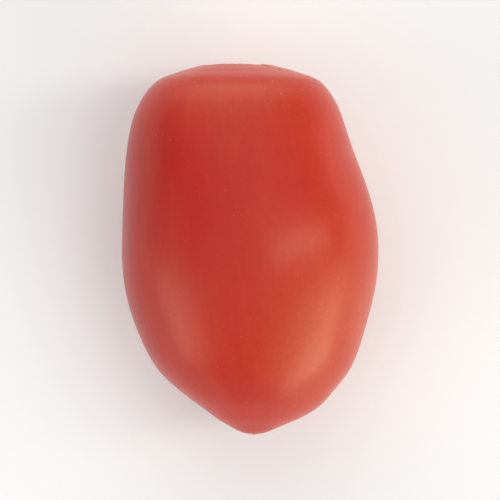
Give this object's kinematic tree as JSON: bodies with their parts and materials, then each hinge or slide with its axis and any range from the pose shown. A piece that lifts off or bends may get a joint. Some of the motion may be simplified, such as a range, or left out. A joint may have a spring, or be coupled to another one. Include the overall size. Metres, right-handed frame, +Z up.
{
  "type": "plum tomato",
  "caption": "Ripe red plum tomato picked without its calyx, lying on its side, with lobed shoulders, a corky stem scar and a blossom tip.",
  "frame": {"origin": "on the surface that the fruit lies on, under the middle of its outline seen from above", "axes": "+Y along the fruit's long axis towards the stem end, +Z up from the surface, +X to the right when the stem end points away from the viewer"},
  "size_m": [0.052, 0.075, 0.0473],
  "materials": {
    "skin": "satin"
  },
  "bodies": {
    "root": {"tomato": "skin"}
  },
  "joints": []
}
